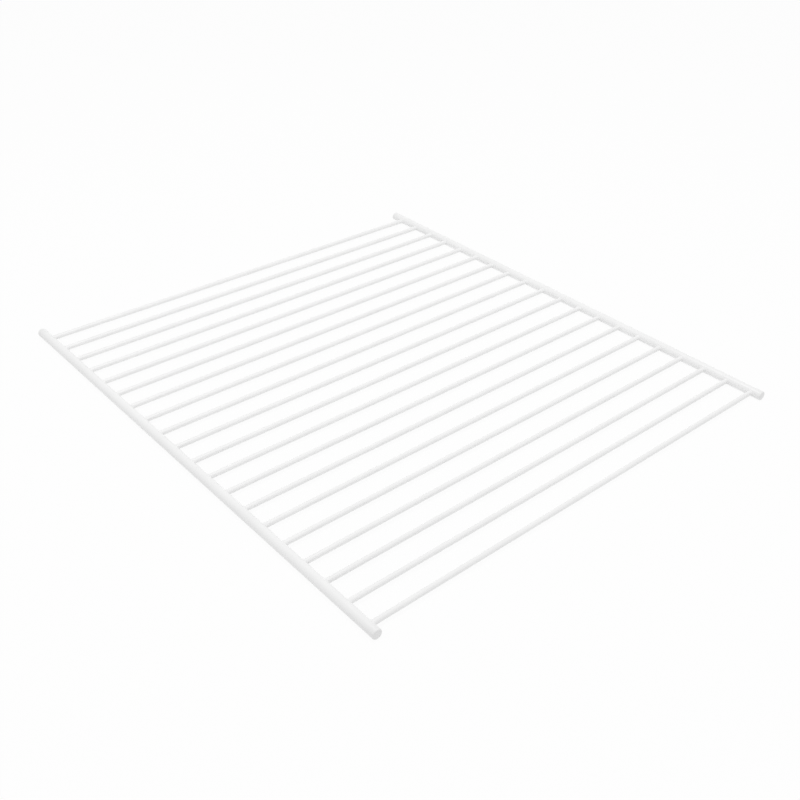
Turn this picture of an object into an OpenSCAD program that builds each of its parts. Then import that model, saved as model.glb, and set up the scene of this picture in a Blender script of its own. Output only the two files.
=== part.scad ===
// Freezer wire shelf: two thick side rails joined by a row of thin cross wires.
// Every piece is steel rod with a baked white coating. The cross wires are cut to
// length, coped to the round of the rails and welded on at the rails' mid height.
// +X runs along the cross wires, +Y to the back of the freezer, +Z is up.
// The origin is under the middle of the shelf, on the surface it rests on.

/* [Side rails] */
// Diameter of a side rail over its coating
rail_d = 6.35; // [5:0.05:10]
// Distance between the axes of the two side rails
rail_spacing = 337.7; // [200:0.1:600]
// How far a rail runs on in front of the first cross wire's axis
front_overhang = 7.8; // [5:0.1:40]
// How far a rail runs on behind the last cross wire's axis
rear_overhang = 12.6; // [5:0.1:40]
// Radius that rounds the rim of a rail's cut end
rail_end_round = 0.7; // [0.2:0.05:1.5]

/* [Cross wires] */
// Diameter of a cross wire over its coating
wire_d = 3.4; // [2:0.05:4.5]
// Number of cross wires
wire_count = 20; // [4:1:40]
// Distance from one cross wire's axis to the next
wire_pitch = 19.05; // [10:0.05:40]

/* [Welds] */
// Radius of the coated weld that fills the corner between wire and rail
weld_fillet = 0.8; // [0.3:0.05:1.2]

/* [Hidden] */
coating_white = [0.95, 0.95, 0.94];
rail_r = rail_d / 2;
wire_r = wire_d / 2;
rail_length = front_overhang + (wire_count - 1) * wire_pitch + rear_overhang;
// Both rail ends are equally far from the origin
rail_front_y = -rail_length / 2;
first_wire_y = rail_front_y + front_overhang;
// Rails and wires share one mid height, so that the rails alone touch the surface
axis_z = rail_r;
// The weld's hollow flanks dip this far under the rail's round, which trims them
weld_dip = 0.02;
// Distances from the rail's axis: to where the weld starts on the wire's sides, and
// to the centre of the ball that would roll in the corner above and below the wire
weld_reach = rail_r - weld_dip + weld_fillet;
ball_height = wire_r + weld_fillet;
ball_reach = sqrt(pow(weld_reach, 2) - pow(ball_height, 2));
// Round rods are drawn with more sides than their small welds
rod_sides = 36;
weld_sides = 16;

function wire_name(i) = str("cross_wire_", i < 10 ? "0" : "", i);
function wire_y(i) = first_wire_y + (i - 1) * wire_pitch;

// Half of a rail's long section, to be spun about the rail's axis
module rail_half_section() {
    square([rail_r - rail_end_round, rail_length]);
    translate([0, rail_end_round])
        square([rail_r, rail_length - 2 * rail_end_round]);
    for (y = [rail_end_round, rail_length - rail_end_round])
        translate([rail_r - rail_end_round, y])
            circle(r = rail_end_round, $fn = weld_sides);
}

// A straight round rod with both cut ends rounded over, side = -1 left or 1 right
module side_rail(side) {
    color(coating_white)
        translate([side * rail_spacing / 2, rail_front_y, axis_z])
            rotate([-90, 0, 0])
                rotate_extrude($fn = rod_sides)
                    rail_half_section();
}

// Half of a weld's section, to be spun about the wire's axis: its hollow flank
// leads from the side of the wire to the side of the rail
module weld_side_section() {
    difference() {
        square([ball_height, weld_reach]);
        translate([ball_height, weld_reach])
            circle(r = weld_fillet, $fn = weld_sides);
    }
}

// The upper half of a weld seen along the rail: its hollow flank leads from the
// top of the wire to the round of the rail
module weld_top_section() {
    difference() {
        polygon([[0, 0], [weld_reach, 0], [weld_reach, wire_r], [ball_reach, wire_r], [ball_reach, ball_height]]);
        translate([ball_reach, ball_height])
            circle(r = weld_fillet, $fn = weld_sides);
    }
}

// The weld on a wire that leaves the rail's axis along +X
module weld() {
    intersection() {
        rotate([0, 90, 0])
            rotate_extrude($fn = weld_sides)
                weld_side_section();
        rotate([90, 0, 0])
            linear_extrude(height = 3 * ball_height, center = true)
                for (flip = [0, 1])
                    mirror([0, flip])
                        weld_top_section();
    }
}

// The bare round of both rails, as far as a wire meets it
module rail_rounds() {
    for (side = [-1, 1])
        translate([side * rail_spacing / 2, 0, 0])
            rotate([90, 0, 0])
                cylinder(h = 3 * ball_height, r = rail_r, center = true, $fn = rod_sides);
}

// Cross wire number i: a rod from rail to rail with a weld at each end, both ends
// coped so that they seat on the rails
module cross_wire(i) {
    color(coating_white)
        translate([0, wire_y(i), axis_z])
            difference() {
                union() {
                    rotate([0, 90, 0])
                        cylinder(h = rail_spacing, r = wire_r, center = true, $fn = weld_sides);
                    for (flip = [0, 1])
                        mirror([flip, 0, 0])
                            translate([-rail_spacing / 2, 0, 0])
                                weld();
                }
                rail_rounds();
            }
}

side_rail(-1);  // side_rail_left
side_rail(1);  // side_rail_right
for (i = [1 : wire_count])
    cross_wire(i);
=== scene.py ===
import random
from math import cos, pi, radians, sin, sqrt

import bpy
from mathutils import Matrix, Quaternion, Vector


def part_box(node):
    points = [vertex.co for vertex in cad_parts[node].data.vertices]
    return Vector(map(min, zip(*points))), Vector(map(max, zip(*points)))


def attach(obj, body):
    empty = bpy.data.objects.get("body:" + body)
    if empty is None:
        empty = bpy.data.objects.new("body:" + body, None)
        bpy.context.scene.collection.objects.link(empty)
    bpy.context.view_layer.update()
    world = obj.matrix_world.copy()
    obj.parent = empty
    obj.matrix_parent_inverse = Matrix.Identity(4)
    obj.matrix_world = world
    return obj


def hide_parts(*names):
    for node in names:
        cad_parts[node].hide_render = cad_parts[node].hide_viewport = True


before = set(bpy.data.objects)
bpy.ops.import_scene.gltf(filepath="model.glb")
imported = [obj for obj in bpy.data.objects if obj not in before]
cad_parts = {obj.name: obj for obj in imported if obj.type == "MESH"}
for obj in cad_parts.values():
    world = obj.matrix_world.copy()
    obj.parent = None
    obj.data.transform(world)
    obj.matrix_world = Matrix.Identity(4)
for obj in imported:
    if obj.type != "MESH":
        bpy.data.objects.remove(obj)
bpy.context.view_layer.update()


# Side rails: two straight steel rods that carry every cross wire. Each is cut to
# length, its sharp rims are broken, and a white powder coating is baked on all over.
# The rails alone touch what the shelf lies on.
rail_sides = 72
rail_rings = 48
rim_radius = 0.0007
rim_steps = 8
end_crown = 0.00008
end_pip = 0.0003
# How far along the barrel the painted shade of a cut end fades out.
cut_fade = 0.0012


def skin(name, rings, mask_name, masks):
    """A closed mesh over rings of points, each with a value of the named mask for the coating."""
    count = len(rings[0])
    points = [point for ring in rings for point in ring]
    faces = [
        (low + i, low + (i + 1) % count, low + count + (i + 1) % count, low + count + i)
        for low in range(0, len(points) - count, count)
        for i in range(count)
    ]
    faces.append(tuple(reversed(range(count))))
    faces.append(tuple(range(len(points) - count, len(points))))
    mesh = bpy.data.meshes.new(name)
    mesh.from_pydata(points, [], faces)
    mesh.shade_smooth()
    mask = mesh.attributes.new(mask_name, "FLOAT", "POINT")
    mask.data.foreach_set("value", [value for value in masks for _ in range(count)])
    piece = bpy.data.objects.new(name, mesh)
    bpy.context.scene.collection.objects.link(piece)
    return piece


def rail_profile(length, radius):
    """Pairs of place along the rail and radius there, from the front end to the back one."""
    half = [(0, end_pip)]
    flat = radius - rim_radius
    for step in range(1, rim_steps):
        share = step / rim_steps
        half.append((end_crown * share ** 2, end_pip + (flat - end_pip) * share))
    for step in range(rim_steps + 1):
        turn = pi / 2 * step / rim_steps
        depth = end_crown + (rim_radius - end_crown) * (1 - cos(turn))
        half.append((depth, flat + rim_radius * sin(turn)))
    barrel = []
    for step in range(1, rail_rings):
        barrel.append((rim_radius + (length - 2 * rim_radius) * step / rail_rings, radius))
    back = [(length - along, wide) for along, wide in reversed(half)]
    return half + barrel + back


def build_rail(name, node):
    """One coated rod that fills its node's box, lying along Y."""
    low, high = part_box(node)
    middle = (low + high) / 2
    radius = (high.z - low.z) / 2
    length = high.y - low.y
    rings, cut = [], []
    for along, wide in rail_profile(length, radius):
        turns = [2 * pi * i / rail_sides for i in range(rail_sides)]
        rings.append(
            [Vector((middle.x + wide * cos(t), low.y + along, middle.z - wide * sin(t))) for t in turns]
        )
        from_end = min(along, length - along)
        # The cut_end mask is 1 on each end face and its rim and fades out along the barrel; the coating paints
        # shade there.
        cut.append(max(0.0, 1 - max(0.0, from_end - rim_radius / 2) / cut_fade))
    return skin(name, rings, "cut_end", cut)


def add_sockets(group, inputs, outputs):
    """Gives a shader node group its named sockets."""
    for label, kind, value in inputs:
        socket = group.interface.new_socket(label, in_out="INPUT", socket_type=kind)
        socket.default_value = value
    for label, kind in outputs:
        group.interface.new_socket(label, in_out="OUTPUT", socket_type=kind)


def noise(group, scale, detail, coordinates):
    """A noise texture over the object's own coordinates, in metres."""
    texture = group.nodes.new("ShaderNodeTexNoise")
    texture.inputs["Detail"].default_value = detail
    group.links.new(coordinates, texture.inputs["Vector"])
    group.links.new(scale, texture.inputs["Scale"])
    return texture.outputs["Fac"]


def spread(group, value, low, high, to_low, to_high):
    """Stretches a value from one range to another, smoothly and without overshoot."""
    node = group.nodes.new("ShaderNodeMapRange")
    node.interpolation_type = "SMOOTHSTEP"
    for label, amount in zip(("From Min", "From Max", "To Min", "To Max"), (low, high, to_low, to_high)):
        if isinstance(amount, (int, float)):
            node.inputs[label].default_value = amount
        else:
            group.links.new(amount, node.inputs[label])
    group.links.new(value, node.inputs["Value"])
    return node.outputs["Result"]


def blend_colour(group, share, first, second):
    """First colour where share is 0, second where it is 1."""
    node = group.nodes.new("ShaderNodeMix")
    node.data_type = "RGBA"
    sockets = [socket for socket in node.inputs if socket.enabled]
    for source, socket in zip((share, first, second), sockets):
        group.links.new(source, socket)
    return next(socket for socket in node.outputs if socket.enabled)


def combine(group, operation, first, second):
    """One plain sum on two values."""
    node = group.nodes.new("ShaderNodeMath")
    node.operation = operation
    for index, amount in enumerate((first, second)):
        if isinstance(amount, (int, float)):
            node.inputs[index].default_value = amount
        else:
            group.links.new(amount, node.inputs[index])
    return node.outputs["Value"]


def build_powder_coat():
    """Baked powder: faint clouds of tone, orange peel, fine grain, and painted shade with a duller coat where a
    mask says so.
    """
    group = bpy.data.node_groups.new("baked powder coat", "ShaderNodeTree")
    add_sockets(
        group,
        (
            ("Coat", "NodeSocketColor", (0.93, 0.93, 0.93, 1)),
            ("Cloud", "NodeSocketColor", (0.9, 0.9, 0.9, 1)),
            ("Painted Shade", "NodeSocketColor", (0.8, 0.8, 0.8, 1)),
            ("Painted Shade And Dull Coat", "NodeSocketFloat", 0.0),
            ("Cloud Scale", "NodeSocketFloat", 30.0),
            ("Peel Scale", "NodeSocketFloat", 700.0),
            ("Grain Scale", "NodeSocketFloat", 5000.0),
            ("Gloss Roughness", "NodeSocketFloat", 0.3),
            ("Dull Roughness", "NodeSocketFloat", 0.45),
        ),
        (
            ("Color", "NodeSocketColor"),
            ("Roughness", "NodeSocketFloat"),
            ("Height", "NodeSocketFloat"),
        ),
    )
    given = group.nodes.new("NodeGroupInput").outputs
    made = group.nodes.new("NodeGroupOutput").inputs
    place = group.nodes.new("ShaderNodeTexCoord").outputs["Object"]

    clouds = spread(group, noise(group, given["Cloud Scale"], 3.0, place), 0.35, 0.65, 0.0, 1.0)
    coated = blend_colour(group, clouds, given["Coat"], given["Cloud"])
    grain = noise(group, given["Grain Scale"], 2.0, place)
    # Where the mask says so, the colour turns to painted shade, patchy with the grain.
    painted_shade_share = combine(group, "MULTIPLY", given["Painted Shade And Dull Coat"], spread(group, grain, 0.3, 0.7, 0.6, 1.0))
    group.links.new(blend_colour(group, painted_shade_share, coated, given["Painted Shade"]), made["Color"])

    dullness = combine(group, "MAXIMUM", spread(group, grain, 0.3, 0.7, 0.0, 0.5), given["Painted Shade And Dull Coat"])
    rough = spread(group, dullness, 0.0, 1.0, given["Gloss Roughness"], given["Dull Roughness"])
    group.links.new(rough, made["Roughness"])

    peel = noise(group, given["Peel Scale"], 1.0, place)
    height = combine(group, "ADD", peel, combine(group, "MULTIPLY", grain, 0.06))
    group.links.new(height, made["Height"])
    return group


powder_coat = build_powder_coat()


def coat_material(name, mask_name, values, peel_height):
    """White coating, with painted shade and a duller coat where the mesh's own mask says so."""
    material = bpy.data.materials.new(name)
    material.use_nodes = True
    tree = material.node_tree
    shader = tree.nodes["Principled BSDF"]
    shader.inputs["IOR"].default_value = 1.5
    coat = tree.nodes.new("ShaderNodeGroup")
    coat.node_tree = powder_coat
    for label, value in values.items():
        coat.inputs[label].default_value = value
    mask = tree.nodes.new("ShaderNodeAttribute")
    mask.attribute_name = mask_name
    bump = tree.nodes.new("ShaderNodeBump")
    bump.inputs["Distance"].default_value = peel_height
    tree.links.new(mask.outputs["Fac"], coat.inputs["Painted Shade And Dull Coat"])
    tree.links.new(coat.outputs["Color"], shader.inputs["Base Color"])
    tree.links.new(coat.outputs["Roughness"], shader.inputs["Roughness"])
    tree.links.new(coat.outputs["Height"], bump.inputs["Height"])
    tree.links.new(bump.outputs["Normal"], shader.inputs["Normal"])
    return material


# The rail coating paints shade on the cut ends, darker than the barrel, with a duller coat there.
rail_coat = coat_material(
    "rail_white_coating",
    "cut_end",
    {
        "Coat": (0.93, 0.93, 0.93, 1),
        "Cloud": (0.915, 0.915, 0.915, 1),
        "Painted Shade": (0.86, 0.86, 0.86, 1),
        "Cloud Scale": 35.0,
        "Peel Scale": 650.0,
        "Grain Scale": 5000.0,
        "Gloss Roughness": 0.3,
        "Dull Roughness": 0.42,
    },
    peel_height=0.000012,
)

for node in ("side_rail_left", "side_rail_right"):
    rail = build_rail(node + "_coated", node)
    rail.data.materials.append(rail_coat)
    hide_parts(node)
    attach(rail, "root")


# Cross wires: twenty thin steel rods, coped to the round of the rails and welded on at
# mid height. The baked coating runs round each weld and leaves a small hollow fillet.
# No two welds came out quite the same.
wire_count = 20
wire_radius = 0.0017
wire_sides = 48
wire_rings = 36
weld_ball = 0.0008
weld_steps = 9
weld_root = 0.00002
ball_spread = 0.08
lump_heights = (0.07, 0.05, 0.04)

rail_low, rail_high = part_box("side_rail_left")
rail_radius = (rail_high.z - rail_low.z) / 2
rail_x = -(rail_low.x + rail_high.x) / 2
draw = random.Random(20)


def weld_point(turn, share, ball):
    """A point on the hollow weld at that turn round the wire, from the wire at share 0 to the rail at 1.
    It is measured from where the axes of wire and rail cross, with the wire leaving along +X."""
    reach = wire_radius + ball
    aside, up = reach * cos(turn), reach * sin(turn)
    out = sqrt((rail_radius + ball) ** 2 - up ** 2)
    to_wire = Vector((0, -cos(turn), -sin(turn)))
    to_rail = Vector((-out, 0, -up)).normalized()
    return Vector((out, aside, up)) + ball * to_wire.slerp(to_rail, share)


def weld_rings():
    """The rings of one weld, from the rail to the wire, with lumps of its own."""
    size = weld_ball * draw.uniform(1 - ball_spread, 1 + ball_spread)
    lumps = [(height, draw.uniform(0, 2 * pi)) for height in lump_heights]
    rings = []
    for step in range(weld_steps, -1, -1):
        ring = []
        for i in range(wire_sides):
            turn = 2 * pi * i / wire_sides
            swell = sum(height * sin((k + 1) * turn + start) for k, (height, start) in enumerate(lumps))
            ring.append(weld_point(turn, step / weld_steps, size * (1 + swell)))
        rings.append(ring)
    root = [point.copy() for point in rings[0]]
    for point in root:
        sunk = 1 - weld_root / rail_radius
        point.x *= sunk
        point.z *= sunk
    return [root] + rings


def build_wire(name, node):
    """One coated wire from rail to rail, with a weld at each end."""
    low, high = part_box(node)
    middle = (low + high) / 2
    left = [[point + Vector((-rail_x, 0, 0)) for point in ring] for ring in weld_rings()]
    right = [[Vector((rail_x - p.x, p.y, p.z)) for p in ring] for ring in reversed(weld_rings())]
    body = []
    for step in range(1, wire_rings):
        share = step / wire_rings
        body.append([a.lerp(b, share) for a, b in zip(left[-1], right[0])])
    rings = [[point + Vector((0, middle.y, middle.z)) for point in ring] for ring in left + body + right]
    # The weld mask is 1 at the rail and 0 on the wire; by it the coating paints shade into each weld's hollow
    # corner.
    weld_mask = [1.0] + [step / weld_steps for step in range(weld_steps, -1, -1)]
    return skin(name, rings, "weld", weld_mask + [0.0] * len(body) + weld_mask[::-1])


# The wire coating paints shade in the hollow of each weld, darker towards the rail, with a duller coat there.
wire_coat = coat_material(
    "wire_white_coating",
    "weld",
    {
        "Coat": (0.93, 0.93, 0.93, 1),
        "Cloud": (0.915, 0.915, 0.915, 1),
        "Painted Shade": (0.9, 0.9, 0.9, 1),
        "Cloud Scale": 45.0,
        "Peel Scale": 900.0,
        "Grain Scale": 5000.0,
        "Gloss Roughness": 0.3,
        "Dull Roughness": 0.38,
    },
    peel_height=0.00001,
)

for number in range(1, wire_count + 1):
    node = f"cross_wire_{number:02d}"
    wire = build_wire(node + "_coated", node)
    wire.data.materials.append(wire_coat)
    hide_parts(node)
    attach(wire, "root")


# Table: a wide pale sheet under the shelf, softly lit from below, so that the undersides
# of the rods stay bright. The camera sees it white, with only a breath of shadow.
table_side = 12.0
table_glow = 0.33
table_tint = 0.6
camera_white = 0.9


def sees_background(tree):
    """1 for the rays that look at the background: camera, glossy and transmission rays."""
    path = tree.nodes.new("ShaderNodeLightPath").outputs
    glossy = combine(tree, "MAXIMUM", path["Is Camera Ray"], path["Is Glossy Ray"])
    return combine(tree, "MAXIMUM", glossy, path["Is Transmission Ray"])


def build_table():
    """The sheet's square, on the plane that the rails lie on."""
    half = table_side / 2
    mesh = bpy.data.meshes.new("table")
    mesh.from_pydata([(-half, -half, 0), (half, -half, 0), (half, half, 0), (-half, half, 0)], [], [(0, 1, 2, 3)])
    table = bpy.data.objects.new("table", mesh)
    bpy.context.scene.collection.objects.link(table)
    return table


def table_material():
    """Pale and glowing for light that falls on the shelf, and near white for the camera."""
    material = bpy.data.materials.new("lit_table")
    material.use_nodes = True
    tree = material.node_tree
    tree.nodes.remove(tree.nodes["Principled BSDF"])
    sheet = tree.nodes.new("ShaderNodeBsdfDiffuse")
    sheet.inputs["Color"].default_value = (table_tint, table_tint, table_tint, 1)
    glow = tree.nodes.new("ShaderNodeEmission")
    glow.inputs["Strength"].default_value = table_glow
    lit = tree.nodes.new("ShaderNodeAddShader")
    white = tree.nodes.new("ShaderNodeEmission")
    seen = tree.nodes.new("ShaderNodeMixShader")
    tree.links.new(sheet.outputs["BSDF"], lit.inputs[0])
    tree.links.new(glow.outputs["Emission"], lit.inputs[1])
    tree.links.new(combine(tree, "MULTIPLY", sees_background(tree), camera_white), seen.inputs["Fac"])
    tree.links.new(lit.outputs["Shader"], seen.inputs[1])
    tree.links.new(white.outputs["Emission"], seen.inputs[2])
    tree.links.new(seen.outputs["Shader"], tree.nodes["Material Output"].inputs["Surface"])
    return material


table = build_table()
table.data.materials.append(table_material())


# Light tent: white cloth all round, lit evenly from outside, so that every side of a rod
# gets light and none gets a hard edge.
tent_level = 0.7


def build_tent():
    """The world: even light for the shelf, plain white for the camera."""
    world = bpy.data.worlds.new("light_tent")
    bpy.context.scene.world = world
    world.use_nodes = True
    tree = world.node_tree
    cloth = tree.nodes["Background"]
    cloth.inputs["Color"].default_value = (1, 1, 1, 1)
    cloth.inputs["Strength"].default_value = tent_level
    white = tree.nodes.new("ShaderNodeBackground")
    white.inputs["Color"].default_value = (1, 1, 1, 1)
    seen = tree.nodes.new("ShaderNodeMixShader")
    tree.links.new(sees_background(tree), seen.inputs["Fac"])
    tree.links.new(cloth.outputs["Background"], seen.inputs[1])
    tree.links.new(white.outputs["Background"], seen.inputs[2])
    tree.links.new(seen.outputs["Shader"], tree.nodes["World Output"].inputs["Surface"])


build_tent()


# Top light: one soft box that hangs over the middle of the shelf. It brightens the
# crest of every rod.
top_light_side = 0.5
top_light_height = 1.0
top_light_watts = 3.0

top_light = bpy.data.lights.new("top_light", "AREA")
top_light.shape = "SQUARE"
top_light.size = top_light_side
top_light.energy = top_light_watts
top_box = bpy.data.objects.new("top_light", top_light)
bpy.context.scene.collection.objects.link(top_box)
top_box.location = (0, 0, top_light_height)


# Camera: in front of the shelf's left corner and above it, turned a little off level,
# as in the photograph.
camera_place = Vector((-0.39574, -0.46041, 0.37854))
camera_aim = Vector((-0.02439, -0.04017, 0.00318))
camera_tilt = radians(1.34)
camera_lens = 45.72
camera_sensor = 36.0

camera_data = bpy.data.cameras.new("camera")
camera_data.lens = camera_lens
camera_data.sensor_width = camera_sensor
camera_data.clip_start = 0.01
camera = bpy.data.objects.new("camera", camera_data)
bpy.context.scene.collection.objects.link(camera)
camera.location = camera_place
camera.rotation_mode = "QUATERNION"
look = (camera_aim - camera_place).to_track_quat("-Z", "Y")
camera.rotation_quaternion = look @ Quaternion((0, 0, 1), camera_tilt)
bpy.context.scene.camera = camera
bpy.context.scene.view_settings.view_transform = "Standard"
